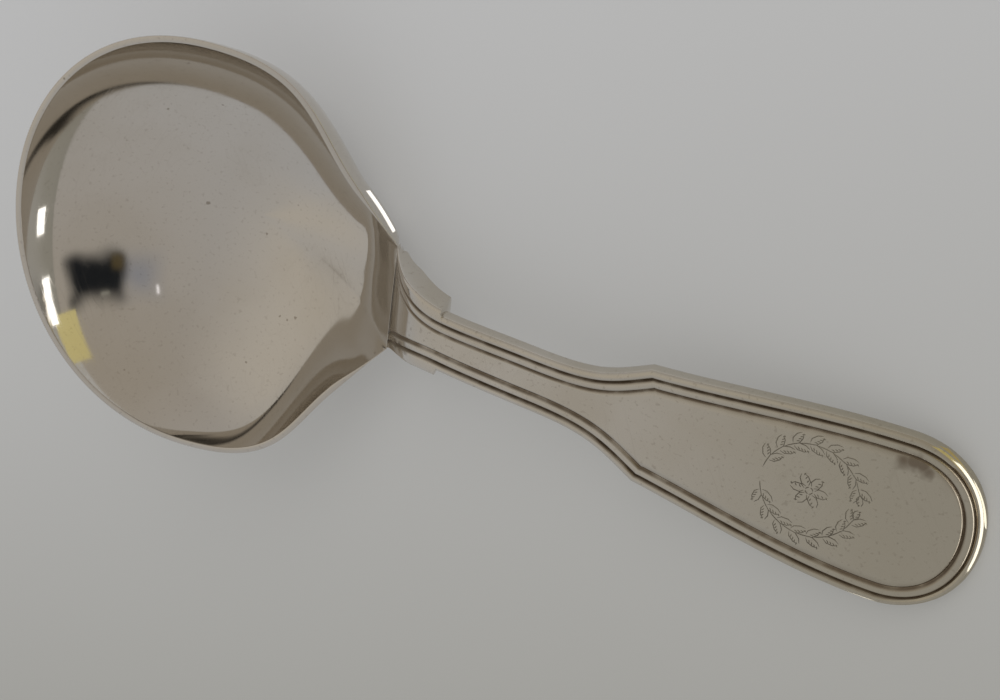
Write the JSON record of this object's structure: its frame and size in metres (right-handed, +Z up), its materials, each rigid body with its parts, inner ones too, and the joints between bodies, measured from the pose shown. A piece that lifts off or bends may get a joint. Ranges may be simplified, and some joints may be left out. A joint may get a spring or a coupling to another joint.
{
  "type": "caddy spoon",
  "caption": "Silver caddy spoon: a broad, shallow round bowl on a short fiddle-shaped handle with a reeded border, for measuring loose tea.",
  "frame": {"origin": "middle of the worn flat on the bowl's back, on the surface that the spoon lies on", "axes": "+X along the spoon from the bowl towards the end of the handle, +Z up out of the bowl, as the spoon lies at rest on the bowl's back and the handle's end"},
  "size_m": [0.099, 0.0458, 0.0197],
  "materials": {
    "bowl_silver": "hand-polished sterling silver with fine scratches and a few pits",
    "handle_silver": "polished sterling silver, darker in the grooves of its reeded border",
    "hard_solder": "silver solder, polished over and a little warmer and duller than the sheet"
  },
  "bodies": {
    "root": {"bowl": "bowl_silver", "handle": "handle_silver", "solder_seam": "hard_solder"}
  },
  "joints": []
}
